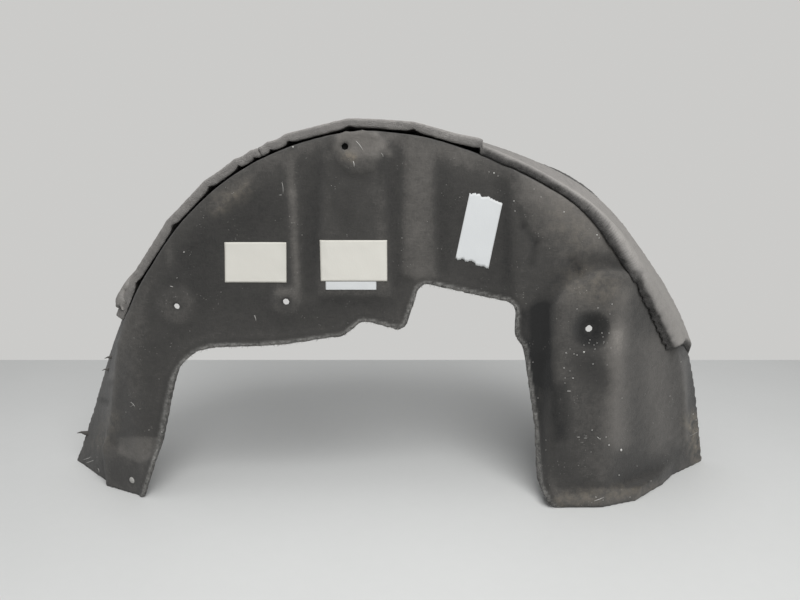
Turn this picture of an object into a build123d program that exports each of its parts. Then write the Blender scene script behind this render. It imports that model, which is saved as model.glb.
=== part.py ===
"""Wheel arch liner: a pressed felt shell on two legs, with two foam strips and four blank labels."""

import os

from build123d import *

# The front wall faces -Y, the barrel runs back along +Y, and the legs stand on Z = 0.
WALL = 4.5
FRONT = -60
LEG_DEPTH = 104
TOP_DEPTH = 150

# Each row: X and Z of the arch edge at the front wall, then how far X and Z spread for each mm back.
ARCH = (
    (-350, -20, -1.33, 0.00),
    (-362, 70, -0.80, 0.00),
    (-357, 150, -0.53, 0.03),
    (-346, 215, -0.34, 0.07),
    (-301, 307, -0.12, 0.08),
    (-215, 403, -0.04, 0.05),
    (-115, 453, 0.00, 0.02),
    (-35, 467, 0.00, 0.00),
    (46, 455, 0.01, 0.02),
    (140, 418, 0.08, 0.14),
    (236, 360, 0.20, 0.20),
    (297, 284, 0.29, 0.16),
    (338, 190, 0.56, 0.07),
    (334, 85, 0.93, 0.00),
    (316, -20, 1.30, 0.00),
)

# Sizes of the cutting tools, which reach past the arch on every side.
TOP = max(z for x, z, *spread in ARCH) + 50
SPAN = 3.4 * max(x for x, z, *spread in ARCH)

# The wings bend back from the flat middle of the front wall.
LEFT_BEND = -336
RIGHT_BEND = 295
LEFT_SLOPE = 0.613
RIGHT_SLOPE = 0.67
BEND_RADIUS = 50

# Opening for the suspension, between the legs, with a fillet radius for each corner.
CUTOUT = (
    (-348, -30, 0),
    (-304, 82, 60),
    (-271, 204, 34),
    (-150, 209, 60),
    (-69, 221, 18),
    (-46, 240, 12),
    (5, 227, 12),
    (25, 288, 12),
    (141, 262, 14),
    (142, 222, 14),
    (153, 206, 14),
    (172, 100, 60),
    (179, 26, 40),
    (189, 5, 14),
    (222, -14, 0),
    (222, -30, 0),
)
HEM_WIDTH = 6
HEM_HEIGHT = 1.5

# Raised pads on the front wall, as X and Z of their corners.
PILASTER = ((-104, 268), (-6, 268), (-18, 490), (-88, 490))
PILASTER_HEIGHT = 6
RIDGE = ((-2, 296), (46, 286), (40, 500), (2, 500))
FIELD = ((132, 300), (150, 200), (200, 180), (310, 330), (310, 500), (120, 500))
RIDGE_HEIGHT = 5
RIB = ((-135, 262), (-119, 262), (-121, 480), (-133, 480))
RIB_HEIGHT = 4
SILL = ((165, -40), (420, -40), (420, 20), (165, 20))
SILL_STEP = 5
SILL_RIDGE = RIGHT_BEND - 40
SILL_SLOPE = 0.33
SILL_CORNER = RIGHT_BEND + 6
SILL_RETURN = 1.05
LEFT_PAD_RADIUS = 24
LEFT_PAD_HEIGHT = 3
RIB_PAD_RADIUS = 20
RIB_PAD_HEIGHT = 5
BOSS = (-48, 446)
BOSS_RADIUS = 35
BOSS_HEIGHT = 11
PAD_SLOPE = 45
BULGE_SLOPE = 28
BULGE_START = 14
BULGE_HEIGHT = 22
POCKET_RADIUS = 25
POCKET_DEPTH = 11
POCKET_FLOOR = 12
BULGE_ROUND = 10
BULGE_BEND = 45

HOLE_RADIUS = 4
LEFT_HOLE = (-273, 259)
RIB_HOLE = (-139, 265)
TOP_HOLE = (-63, 449)
BULGE_HOLE = (230, 233)
FOOT_HOLE = (-20, 20)
FOOT_SLOPE = 0.454
FOOT_PAD_LEFT = -71
FOOT_PAD_RIGHT = 40
FOOT_PAD_FLAT = 58
FOOT_PAD_TOP = 90
FOOT_PAD_FALL = 22

# Foam on the outside of the barrel, in two strips that meet on the joint line.
FOAM = 11
FOAM_FRONT = 3
FOAM_BACK = 70
JOINT_LINE = ((-250, 615), (-100, 317))
LEFT_END = ((-249, 194), (-522, 322))
RIGHT_END = ((520, 257), (259, 156))

# Labels: left, right, bottom and top edges, and the four corners of the tape.
PAPER = 0.3
LEFT_LABEL = (-210, -138, 287, 338)
CENTRE_LABEL = (-95, -16, 290.5, 341.5)
LOWER_LABEL = (-88, -28, 282, 290.5)
TAPE = ((67, 318), (107, 304), (121, 383), (82, 396))


def front(depth=0.0):
    """Sketch plane facing -Y, at this depth behind the front wall."""
    return Plane.XZ.offset(-depth)


def foot_face(depth=0.0):
    """Sketch plane on the left foot's pad, at this depth; its X runs along the pad towards the bend."""
    return Plane((LEFT_BEND, depth, 0), x_dir=(1, -FOOT_SLOPE, 0), z_dir=(-FOOT_SLOPE, -1, 0))


def section(depth, grow):
    """Arch outline at this depth, moved outward by grow."""
    spots = [Vector(x + fx * depth, z + fz * depth) for x, z, fx, fz in ARCH]
    last = len(spots) - 1
    moved = []
    for i, spot in enumerate(spots):
        run = (spots[min(i + 1, last)] - spots[max(i - 1, 0)]).normalized()
        moved.append(spot + Vector(-run.Y, run.X) * grow)
    edge = Spline(*moved)
    return front(depth) * make_face(edge + Line(moved[-1], moved[0]))


def barrel(grow=0.0, start=-30, end=TOP_DEPTH + 20):
    """Solid filling the arch, from start to end in depth."""
    return loft([section(start, grow), section(end, grow)], ruled=True)


def slab(inset):
    """Everything behind the front wall and its two wings."""
    left = -SPAN / 2
    right = SPAN / 2
    back = 400
    plan = make_face(
        Polyline(
            (left, inset + (LEFT_BEND - left) * LEFT_SLOPE),
            (LEFT_BEND, inset),
            (RIGHT_BEND, inset),
            (right, inset + (right - RIGHT_BEND) * RIGHT_SLOPE),
            (right, back),
            (left, back),
            close=True,
        )
    )
    bends = plan.vertices().filter_by(lambda v: abs(v.Y - inset) < 0.01)
    plan = fillet(bends, BEND_RADIUS)
    return extrude(Plane.XY.offset(-40) * plan, TOP + 40)


def pad(spots, height, inset, radius=6.0, slope=PAD_SLOPE, start=0.0):
    """Raised pad on the front wall, with drafted sides; inset gives the hollow behind it."""
    face = make_face(Polyline(*spots, close=True))
    face = fillet(face.vertices(), radius)
    if inset:
        face = offset(face, -0.45 * inset)
    return extrude(front(start + inset) * face, height + start, taper=slope)


def round_pad(spot, radius, height, inset):
    """Round raised pad on the front wall."""
    base = Pos(*spot) * Circle(radius - 0.45 * inset)
    return extrude(front(inset) * base, height, taper=PAD_SLOPE)


def leg_plan(level, ridge, slope):
    """Everything behind a flat front at this level, which bends back at the ridge."""
    right = SPAN / 2
    back = 400
    plan = make_face(
        Polyline(
            (0, level),
            (ridge, level),
            (right, level + (right - ridge) * slope),
            (right, back),
            (0, back),
            close=True,
        )
    )
    bend = plan.vertices().sort_by_distance((ridge, level, 0))[0]
    return extrude(Plane.XY.offset(-40) * fillet(bend, BULGE_BEND), TOP + 40)


def bulge(inset):
    """Tall swelling of the right leg, with a round pocket for its fixing."""
    half = 75
    middle = 245
    shoulder = 246
    outline = Polyline(
        (middle - half, shoulder),
        (middle - half, -60),
        (middle + half, -60),
        (middle + half, shoulder),
    )
    crown = ThreePointArc(
        (middle + half, shoulder), (middle, shoulder + half), (middle - half, shoulder)
    )
    face = make_face(outline + crown)
    if inset:
        face = offset(face, -0.6 * inset)
    body = extrude(front(BULGE_START + inset) * face, BULGE_START + BULGE_HEIGHT, taper=BULGE_SLOPE)
    if not inset:
        body = fillet(body.faces().sort_by(Axis.Y)[0].edges(), BULGE_ROUND)
    mouth = front(inset - BULGE_HEIGHT) * Pos(*BULGE_HOLE) * Circle(POCKET_RADIUS + inset)
    floor = front(inset - BULGE_HEIGHT + POCKET_DEPTH) * Pos(*BULGE_HOLE) * Circle(POCKET_FLOOR + inset)
    ridge = RIGHT_BEND - BULGE_HEIGHT / RIGHT_SLOPE
    body &= leg_plan(inset - BULGE_HEIGHT, ridge, RIGHT_SLOPE)
    return body - loft([mouth, floor])


def sill(inset):
    """Step along the foot of the right leg."""
    face = make_face(Polyline(*SILL, close=True))
    if inset:
        face = offset(face, -inset)
    bar = extrude(front(TOP_DEPTH) * face, TOP_DEPTH - FRONT)
    level = inset - BULGE_HEIGHT - SILL_STEP
    return bar & leg_plan(level, SILL_RIDGE, SILL_SLOPE) & leg_plan(level, SILL_CORNER, SILL_RETURN)


def foot_pad(inset):
    """Pad that stands out from the left wing at its foot, with a sloping top."""
    face = foot_face(inset)
    end = Plane(face.origin + face.x_dir * FOOT_PAD_RIGHT, x_dir=face.z_dir, z_dir=-face.x_dir)
    profile = Polyline(
        (0, -30),
        (0, FOOT_PAD_FLAT),
        (-FOOT_PAD_FALL, FOOT_PAD_TOP),
        (-40, FOOT_PAD_TOP),
        (-40, -30),
        close=True,
    )
    return extrude(end * make_face(profile), FOOT_PAD_RIGHT - FOOT_PAD_LEFT - inset)


def form(inset):
    """Solid inside the liner's outer face, or inside its inner face when inset by the wall."""
    mass = slab(inset) + bulge(inset) + sill(inset)
    mass += pad(PILASTER, PILASTER_HEIGHT, inset)
    mass += pad(FIELD, RIDGE_HEIGHT, inset)
    mass += round_pad(BOSS, BOSS_RADIUS, BOSS_HEIGHT, inset)
    if not inset:
        mass += pad(RIDGE, RIDGE_HEIGHT, 0)
        mass += pad(RIB, RIB_HEIGHT, 0, 3)
        mass += round_pad(LEFT_HOLE, LEFT_PAD_RADIUS, LEFT_PAD_HEIGHT, 0)
        mass += round_pad(RIB_HOLE, RIB_PAD_RADIUS, RIB_PAD_HEIGHT, 0)
    return (mass & barrel(-inset)) + foot_pad(inset)


def cutout(grow=0.0):
    """Outline of the opening between the legs."""
    face = make_face(Polyline(*[(x, z) for x, z, r in CUTOUT], close=True))
    for x, z, radius in CUTOUT:
        if radius:
            corner = face.vertices().sort_by_distance((x, z, 0))[0]
            face = fillet(corner, radius)
    if grow:
        face = offset(face, grow)
    return face


def liner_shell():
    """Felt shell: front wall, wings and barrel in one piece."""
    side = make_face(
        Polyline(
            (FRONT, 0),
            (LEG_DEPTH, 0),
            (LEG_DEPTH, 335),
            (TOP_DEPTH, 378),
            (TOP_DEPTH, TOP),
            (FRONT, TOP),
            close=True,
        )
    )
    steps = side.vertices().filter_by(lambda v: 300 < v.Y < 400)
    side = fillet(steps, 18)
    keep = extrude(Plane.YZ.offset(-SPAN / 2) * side, SPAN)
    reach = -FRONT
    shell = form(0) - form(WALL)
    shell -= extrude(front(reach) * cutout(), 2 * reach)
    hem = cutout(HEM_WIDTH) - cutout()
    shell += extrude(front(WALL) * hem, WALL + HEM_HEIGHT)
    for spot in (LEFT_HOLE, RIB_HOLE, TOP_HOLE, BULGE_HOLE):
        shell -= extrude(front(reach) * Pos(*spot) * Circle(HOLE_RADIUS), 2 * reach)
    foot = foot_face() * Pos(*FOOT_HOLE) * Circle(HOLE_RADIUS)
    shell -= extrude(foot, 20, both=True)
    return shell & keep


def foam_strip(*window):
    """Foam on the barrel, behind the edge of the front wall, inside a window seen from the front."""
    gate = extrude(front(LEG_DEPTH) * make_face(Polyline(*window, close=True)), LEG_DEPTH)
    band = slab(FOAM_FRONT) - slab(FOAM_BACK)
    return (barrel(FOAM) - barrel()) & band & gate


def label(spots, depth):
    """Thin sheet stuck on the front wall."""
    return extrude(front(depth) * make_face(Polyline(*spots, close=True)), PAPER)


def box_label(left, right, bottom, top, depth):
    """Rectangular label, given by its edges."""
    return label(((left, bottom), (right, bottom), (right, top), (left, top)), depth)


joint_top, joint_foot = JOINT_LINE
nodes = {
    "liner_shell": liner_shell(),
    "foam_strip_left": foam_strip(*LEFT_END, (-522, 615), joint_top, joint_foot),
    "foam_strip_right": foam_strip(joint_foot, joint_top, (520, 615), *RIGHT_END),
    "label_left": box_label(*LEFT_LABEL, 0),
    "label_centre": box_label(*CENTRE_LABEL, -PILASTER_HEIGHT),
    "label_lower": box_label(*LOWER_LABEL, -PILASTER_HEIGHT),
    "tape_label": label(TAPE, 0),
}

# The origin is the middle of the whole liner's box, on the ground.
box = Compound(nodes.values()).bounding_box()
home = Pos(-box.center().X, -box.center().Y, -box.min.Z)
os.makedirs("parts", exist_ok=True)
for name, shape in nodes.items():
    export_step(home * shape, f"parts/{name}.step")
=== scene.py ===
"""Scene for the wheel arch liner: dressed felt shell, foam strips, labels, floor, light and camera."""

import math

import bpy
import numpy as np
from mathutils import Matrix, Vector, noise
from mathutils.bvhtree import BVHTree
from mathutils.kdtree import KDTree
from numpy.linalg import norm


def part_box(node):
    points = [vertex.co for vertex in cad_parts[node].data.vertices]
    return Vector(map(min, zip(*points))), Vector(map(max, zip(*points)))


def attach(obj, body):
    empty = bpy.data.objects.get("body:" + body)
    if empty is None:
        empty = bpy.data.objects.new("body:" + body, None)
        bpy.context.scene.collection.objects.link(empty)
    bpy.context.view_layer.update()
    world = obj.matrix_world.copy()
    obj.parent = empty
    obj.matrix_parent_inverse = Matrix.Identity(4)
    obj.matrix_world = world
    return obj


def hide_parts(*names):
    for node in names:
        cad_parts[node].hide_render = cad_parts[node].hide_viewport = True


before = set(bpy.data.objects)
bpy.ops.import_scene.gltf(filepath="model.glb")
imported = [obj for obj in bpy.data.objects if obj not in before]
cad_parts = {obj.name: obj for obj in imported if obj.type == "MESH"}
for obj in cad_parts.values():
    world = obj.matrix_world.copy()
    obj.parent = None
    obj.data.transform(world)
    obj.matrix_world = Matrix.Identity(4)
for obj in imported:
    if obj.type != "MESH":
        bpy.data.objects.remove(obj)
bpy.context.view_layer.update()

MM = 0.001
RNG = np.random.default_rng(11)
# Shift of the noise for each step of its seed.
SEED_SHIFT = (7.3, 3.1, 5.7)

# The drawing has X = 0 in the photograph's middle column and Y = 0 on the front wall.
LABEL_EDGE = -210
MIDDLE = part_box("label_left")[0].x - LABEL_EDGE * MM
WALL_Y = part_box("label_left")[1].y

# Rays to the felt from the front: start in mm of the drawing, and direction.
IN_FRONT = -200
BACKWARDS = Vector((0, 1, 0))

# Camera: place in the drawing in mm, tilt, focal length in pixels and size of the picture.
EYE = (0, -771, 452)
TILT = math.radians(13.5)
FOCAL = 650
PICTURE = (800, 600)


def place(x, y, z):
    """Point of the frame, in metres, from mm of the drawing."""
    return Vector((x * MM + MIDDLE, y * MM + WALL_Y, z * MM))


CAMERA_AT = place(*EYE)
FORWARD = Vector((0, math.cos(TILT), -math.sin(TILT)))
UPWARD = Vector((0, math.sin(TILT), math.cos(TILT)))


def ray(u, v):
    """Direction from the camera through a pixel of the picture."""
    side = Vector((1, 0, 0)) * (u - PICTURE[0] / 2) / FOCAL
    rise = UPWARD * (PICTURE[1] / 2 - v) / FOCAL
    return (FORWARD + side + rise).normalized()


def pixels(points):
    """Picture coordinates of an array of points."""
    away = points - np.array(CAMERA_AT)
    depth = away @ np.array(FORWARD)
    u = PICTURE[0] / 2 + FOCAL * away[:, 0] / depth
    v = PICTURE[1] / 2 - FOCAL * (away @ np.array(UPWARD)) / depth
    return np.stack([u, v], axis=1)


def smooth_step(low, high, values):
    """0 below low, 1 above high, and smooth between."""
    t = np.clip((values - low) / (high - low), 0, 1)
    return t * t * (3 - 2 * t)


def wave(points, scale, octaves, seed, height=1.0):
    """Fractal noise at each point, about -height to height, with features of about scale metres."""
    shift = Vector([seed * part for part in SEED_SHIFT])
    values = [noise.fractal(Vector(p) / scale + shift, 1.0, 2.0, octaves) for p in points]
    return np.array(values) * height


# Mesh helpers.


def add_object(name, data):
    """Object with this data, in the scene."""
    made = bpy.data.objects.new(name, data)
    bpy.context.collection.objects.link(made)
    return made


def new_mesh(name, points, faces):
    """Mesh from points and faces."""
    mesh = bpy.data.meshes.new(name)
    mesh.from_pydata(points, [], faces)
    mesh.update()
    return mesh


def slab_mesh(name, front, back, columns):
    """Closed sheet between two layers of points, which lie in rows of columns + 1."""
    count = len(front)
    wide = columns + 1
    faces = []
    for i in range(count // wide - 1):
        for j in range(columns):
            k = i * wide + j
            faces.append((k, k + 1, k + wide + 1, k + wide))
            faces.append((k + count, k + wide + count, k + wide + 1 + count, k + 1 + count))
    rim = [*range(columns), *range(columns, count - 1, wide)]
    rim += [*range(count - 1, count - 1 - columns, -1), *range(count - wide, 0, -wide)]
    for k, m in zip(rim, rim[1:] + rim[:1]):
        faces.append((m, k, k + count, m + count))
    return new_mesh(name, front + back, faces)


def ring_faces(rings, sides):
    """Faces of a closed body made of rings of points, with a cap at each end."""
    last = (rings - 1) * sides
    faces = [tuple(range(sides - 1, -1, -1)), tuple(range(last, last + sides))]
    for ring in range(rings - 1):
        for k in range(sides):
            a = ring * sides + k
            b = ring * sides + (k + 1) % sides
            faces.append((a, b, b + sides, a + sides))
    return faces


def spokes(side, rise, sides):
    """Directions all round a centre, from one axis towards the other."""
    turns = [math.tau * k / sides for k in range(sides)]
    return [side * math.cos(turn) + rise * math.sin(turn) for turn in turns]


def tree_of(piece):
    """Search tree over a piece's faces."""
    points = [vertex.co.copy() for vertex in piece.data.vertices]
    faces = [tuple(face.vertices) for face in piece.data.polygons]
    return BVHTree.FromPolygons(points, faces)


def snap(points, node):
    """Moves each point to the nearest place on a CAD node."""
    tree = tree_of(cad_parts[node])
    return np.array([tree.find_nearest(Vector(p))[0] for p in points])


def read(values, field, width=3, kind=float):
    """A field of a mesh's vertices or edges as an array."""
    found = np.empty(len(values) * width, dtype=kind)
    values.foreach_get(field, found)
    return found.reshape(-1, width)


def write_points(mesh, points):
    """Moves a mesh's vertices to these points."""
    mesh.vertices.foreach_set("co", points.ravel())
    mesh.update()


def remeshed(node, voxel):
    """Even voxel mesh of a CAD node's solid, its edges, and its points laid on the solid."""
    work = add_object("work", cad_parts[node].data.copy())
    modifier = work.modifiers.new("voxels", "REMESH")
    modifier.mode = "VOXEL"
    modifier.voxel_size = voxel
    graph = bpy.context.evaluated_depsgraph_get()
    mesh = bpy.data.meshes.new_from_object(work.evaluated_get(graph))
    bpy.data.objects.remove(work)
    mesh.materials.clear()
    edges = read(mesh.edges, "vertices", 2, np.int32)
    return mesh, edges, snap(read(mesh.vertices, "co"), node)


def spread(values, edges):
    """Mean of each vertex's neighbours."""
    count = len(values)
    ends = np.concatenate([edges[:, 0], edges[:, 1]])
    other = np.concatenate([edges[:, 1], edges[:, 0]])
    total = [np.bincount(ends, weights=column[other], minlength=count) for column in values.T]
    number = np.maximum(np.bincount(ends, minlength=count), 1)
    return np.stack(total, axis=1) / number[:, None]


def eased(points, edges, rounds, share):
    """Draws each point towards its neighbours' mean, by a share in each round."""
    for _ in range(rounds):
        points = points + share * (spread(points, edges) - points)
    return points


def paint(mesh, name, values):
    """Stores a number for each vertex."""
    layer = mesh.attributes.new(name, "FLOAT", "POINT")
    layer.data.foreach_set("value", np.asarray(values, dtype=np.float32))


def add_piece(name, mesh, material, slot, *nodes):
    """Adds a piece of the liner, riding on its body and standing for these CAD nodes."""
    piece = add_object(name, mesh)
    mesh.materials.append(material)
    mesh.polygons.foreach_set("use_smooth", [True] * len(mesh.polygons))
    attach(piece, "root")
    if nodes:
        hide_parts(*nodes)
    return piece


def from_line(spots, start, run):
    """Way to each spot from the nearest place on a line."""
    along = np.clip(((spots - start) @ run) / max(run @ run, 1e-6), 0, 1)
    return spots - start - along[:, None] * run


def stroke_sum(spots, strokes):
    """Sum of soft brush strokes between two pixels, each with a width in pixels and an amount."""
    total = np.zeros(len(spots))
    for u0, v0, u1, v1, width, amount in strokes:
        gap = from_line(spots, np.array((u0, v0)), np.array((u1 - u0, v1 - v0)))
        total += amount * np.exp(-(gap * gap).sum(axis=1) / width**2)
    return total


def area_sum(spots, areas):
    """Sum of painted areas, each with an outline and edge width in pixels and an amount."""
    total = np.zeros(len(spots))
    for outline, soft, amount in areas:
        corners = np.array(outline, dtype=float)
        inside = np.zeros(len(spots), dtype=bool)
        gap = np.full(len(spots), np.inf)
        for a, b in zip(corners, np.roll(corners, -1, axis=0)):
            run = b - a
            gap = np.minimum(gap, norm(from_line(spots, a, run), axis=1))
            crossing = (a[1] > spots[:, 1]) != (b[1] > spots[:, 1])
            rise = run[1] if run[1] else 1e-9
            inside ^= crossing & (spots[:, 0] < a[0] + (spots[:, 1] - a[1]) * run[0] / rise)
        total += amount * smooth_step(-soft, soft, np.where(inside, gap, -gap))
    return total


# Node helpers.


class Nodes:
    """Builds the node tree of a material or a world."""

    def __init__(self, owner):
        owner.use_nodes = True
        self.tree = owner.node_tree

    def add(self, kind, **inputs):
        """Adds a node; each named input takes a value or another node's output."""
        made = self.tree.nodes.new(kind)
        self.set(made, **inputs)
        return made

    def set(self, node, **inputs):
        """Feeds a node's inputs, named with underscores for spaces."""
        for name, value in inputs.items():
            self.feed(node.inputs[name.replace("_", " ")], value)

    def feed(self, socket, value):
        """Sets or links one input."""
        if isinstance(value, bpy.types.NodeSocket):
            self.tree.links.new(value, socket)
        else:
            socket.default_value = value

    def math(self, operation, first, second=0.0, clamp=False):
        """One sum on two values."""
        made = self.add("ShaderNodeMath")
        made.operation = operation
        made.use_clamp = clamp
        self.feed(made.inputs[0], first)
        self.feed(made.inputs[1], second)
        return made.outputs[0]


class Surface(Nodes):
    """Builds a new material."""

    def __init__(self, name):
        self.material = bpy.data.materials.new(name)
        super().__init__(self.material)
        self.shader = self.tree.nodes["Principled BSDF"]
        self.where = self.add("ShaderNodeTexCoord").outputs["Object"]

    def noise(self, scale, detail=3.0, rough=0.55, where=None):
        """Noise from 0 to 1."""
        where = where or self.where
        made = self.add("ShaderNodeTexNoise", Vector=where, Scale=scale, Detail=detail, Roughness=rough)
        return made.outputs["Fac"]

    def stretch(self, x, y, z):
        """Object coordinates, scaled on each axis."""
        return self.add("ShaderNodeMapping", Vector=self.where, Scale=(x, y, z)).outputs["Vector"]

    def attribute(self, name):
        """Number painted on the mesh."""
        made = self.add("ShaderNodeAttribute")
        made.attribute_name = name
        return made.outputs["Fac"]

    def centred(self, value, amount):
        """A 0 to 1 value as a swing about zero of this size."""
        return self.math("MULTIPLY", self.math("SUBTRACT", value, 0.5), amount)

    def total(self, *values):
        """Sum of several values."""
        result = values[0]
        for value in values[1:]:
            result = self.math("ADD", result, value)
        return result

    def steps(self, value, low, high):
        """Value spread so that low gives 0 and high gives 1."""
        made = self.add("ShaderNodeMapRange", Value=value, From_Min=low, From_Max=high)
        made.interpolation_type = "SMOOTHSTEP"
        return made.outputs["Result"]

    def ramp(self, value, *stops):
        """Colour from a value, with stops of (position, colour)."""
        made = self.add("ShaderNodeValToRGB", Fac=value)
        band = made.color_ramp
        while len(band.elements) < len(stops):
            band.elements.new(0.5)
        for element, (position, colour) in zip(band.elements, stops):
            element.position = position
            element.color = (*colour, 1)
        return made.outputs["Color"]

    def mix(self, amount, first, second):
        """Blend of two colours."""
        made = self.add("ShaderNodeMix")
        made.data_type = "RGBA"
        self.feed(made.inputs["Factor"], amount)
        for socket, value in ((made.inputs[6], first), (made.inputs[7], second)):
            if isinstance(value, tuple):
                value = (*value, 1)
            self.feed(socket, value)
        return made.outputs[2]

    def finish(self, colour, roughness, height, depth, strength):
        """Links colour, roughness and bump to the shader."""
        bump = self.add("ShaderNodeBump", Height=height, Distance=depth, Strength=strength)
        self.set(self.shader, Base_Color=colour, Roughness=roughness, Normal=bump.outputs["Normal"])
        return self.material


FELT_COLOURS = (
    (0, (0.01, 0.01, 0.01)),
    (0.35, (0.047, 0.045, 0.042)),
    (0.7, (0.14, 0.131, 0.121)),
    (1, (0.31, 0.289, 0.264)),
)
LIP_COLOURS = ((0, (0.035, 0.034, 0.032)), (1, (0.3, 0.295, 0.28)))
DIRT_COLOUR = (0.24, 0.205, 0.155)
FLECK_COLOUR = (0.42, 0.41, 0.385)
FOAM_COLOURS = ((0, (0.03, 0.029, 0.028)), (0.5, (0.215, 0.205, 0.195)), (1, (0.42, 0.4, 0.375)))
GRIME_COLOUR = (0.09, 0.083, 0.075)
LINT_COLOURS = ((0, (0.16, 0.155, 0.145)), (1, (0.66, 0.65, 0.62)))
TABLE_COLOURS = ((0, (0.57, 0.575, 0.565)), (1, (0.65, 0.655, 0.645)))
# Clean and grubby colour of each paper.
PAPERS = {
    "paper": ((0.62, 0.605, 0.555), (0.42, 0.4, 0.35)),
    "cool_paper": ((0.6, 0.615, 0.62), (0.4, 0.4, 0.39)),
}


def felt_material():
    """Dark pressed felt: mottled, dusty, with fine crossed fibres and pale flecks."""
    n = Surface("felt")
    blotch = n.noise(14, detail=4, rough=0.6)
    mottle = n.noise(95, detail=4, rough=0.65)
    fibre = n.noise(520, detail=3, rough=0.7, where=n.stretch(1, 1, 0.35))
    cross = n.noise(560, detail=3, rough=0.7, where=n.stretch(0.3, 1, 1))
    grain = n.math("MAXIMUM", fibre, cross)
    swings = (n.centred(blotch, 0.16), n.centred(mottle, 0.22), n.centred(grain, 0.34))
    felt = n.ramp(n.total(n.attribute("tone"), *swings), *FELT_COLOURS)
    speckle = n.noise(230, detail=2)
    swings = (n.centred(mottle, 0.5), n.centred(grain, 0.9), n.centred(speckle, 1.5))
    lip = n.ramp(n.total(0.45, *swings), *LIP_COLOURS)
    felt = n.mix(n.attribute("hem"), felt, lip)
    dirt = n.math("MULTIPLY", n.attribute("dirt"), n.steps(mottle, 0.3, 0.75), clamp=True)
    felt = n.mix(dirt, felt, DIRT_COLOUR)
    fleck = n.add("ShaderNodeTexVoronoi", Vector=n.where, Scale=260)
    few = n.steps(n.noise(31, detail=2), 0.52, 0.72)
    flecks = n.math("MULTIPLY", n.math("LESS_THAN", fleck.outputs["Distance"], 0.13), few)
    felt = n.mix(n.math("MULTIPLY", flecks, 0.55), felt, FLECK_COLOUR)
    rough = n.total(0.9, n.centred(mottle, 0.12))
    height = n.total(n.math("MULTIPLY", grain, 0.6), n.math("MULTIPLY", mottle, 0.5))
    n.set(n.shader, Sheen_Weight=0.12, Sheen_Roughness=0.6, Specular_IOR_Level=0.25)
    return n.finish(felt, rough, height, depth=0.0012, strength=0.9)


def foam_material():
    """Grey closed-cell foam: a smooth outer skin, and cut faces that are darker and pitted; its painted
    tone also holds painted highlight and shade.
    """
    n = Surface("foam")
    blotch = n.noise(22, detail=4, rough=0.6)
    mottle = n.noise(130, detail=4, rough=0.6)
    cells = n.add("ShaderNodeTexVoronoi", Vector=n.where, Scale=900).outputs["Distance"]
    swings = (n.centred(blotch, 0.2), n.centred(mottle, 0.34), n.centred(cells, 0.2))
    foam = n.ramp(n.total(n.attribute("tone"), *swings), *FOAM_COLOURS)
    grime = n.math("MULTIPLY", n.steps(mottle, 0.52, 0.8), n.steps(blotch, 0.4, 0.7))
    foam = n.mix(n.math("MULTIPLY", grime, 0.4), foam, GRIME_COLOUR)
    rough = n.total(0.86, n.centred(blotch, 0.1))
    pits = n.math("MULTIPLY", cells, n.math("SUBTRACT", 1.3, n.attribute("skin")))
    height = n.total(n.math("MULTIPLY", mottle, 0.6), pits)
    n.set(n.shader, Specular_IOR_Level=0.3)
    return n.finish(foam, rough, height, depth=0.0008, strength=0.8)


def paper_material(name, colour, shade):
    """Matt paper with faint stains, fibres and grubby edges."""
    n = Surface(name)
    cloud = n.noise(28, detail=3, rough=0.5)
    fibre = n.noise(700, detail=2, rough=0.6, where=n.stretch(1, 1, 0.4))
    worn = n.total(n.attribute("grubby"), n.centred(cloud, 0.5), n.centred(fibre, 0.3))
    sheet = n.mix(n.steps(worn, 0.1, 1.3), colour, shade)
    rough = n.total(0.7, n.centred(fibre, 0.2))
    return n.finish(sheet, rough, fibre, depth=0.0002, strength=0.4)


def lint_material():
    """Pale dust, grit and bristles."""
    n = Surface("lint")
    cloud = n.noise(400, detail=3, rough=0.6)
    pale = n.ramp(n.total(n.attribute("tone"), n.centred(cloud, 0.5)), *LINT_COLOURS)
    rough = n.total(0.85, n.centred(cloud, 0.2))
    return n.finish(pale, rough, cloud, depth=0.0003, strength=0.5)


def table_material():
    """Pale table top, faintly cloudy."""
    n = Surface("table")
    cloud = n.noise(3, detail=3)
    fine = n.noise(60, detail=3)
    tone = n.total(n.centred(cloud, 0.5), n.centred(fine, 0.2), 0.5)
    return n.finish(n.ramp(tone, *TABLE_COLOURS), 0.6, fine, depth=0.0004, strength=0.2)


# The shell.

SHELL_VOXEL = 0.00307
# How alike the normals around a vertex are at edges and on flat felt.
FLATNESS = (0.8, 0.95)
# Smoothing of flat felt and of edges: rounds and share; rounds of blur to read the relief from.
FLAT_ROUNDS = 9
FLAT_SHARE = 0.6
EDGE_ROUNDS = 2
EDGE_SHARE = 0.25
BLUR_ROUNDS = 45
# Uneven felt: size of features in metres, octaves, seed and height in metres.
SWELL = (0.06, 3, 1, 0.0007)
GRAIN = (0.01, 2, 2, 0.00025)
RAGGED = (0.007, 2, 3, 0.0006)
# Felt this close to the floor, in metres, is set down on it.
GROUND = 0.0012
# Lean of the normal to the front where painted marks start and are whole.
FACING = (0.1, 0.5)
FELT_TONE = 0.305
# Painted highlight on raised felt and painted shade on sunken felt, and relief in metres that has all of
# it.
RELIEF_LIGHT_SHADE = 0.09
RELIEF = 0.0015
# Pale lip along the opening: depth in metres that has it, width and start in mm, share that is whole.
LIP_DEPTH = 0.12
HEM_WIDTH = 6
HEM_START = 1.5
HEM_WHOLE = 0.6
# Wider, darker lip of the left leg: heights in metres of its start and end, and limit in X.
LEG_LIP = 9
LEG_LIP_START = (0.06, 0.09)
LEG_LIP_END = (0.15, 0.19)
LEG_LIP_SIDE = -240
LEG_LIP_FADE = 0.4
# Painted shade in the groove behind the lip: place, width and tone; then width and tone of the cut edge.
GROOVE_AT = 2.4
GROOVE_WIDTH = 2.5
GROOVE_SHADE = 0.09
RIM_WIDTH = 1.5
RIM_TONE = 0.12
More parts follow.
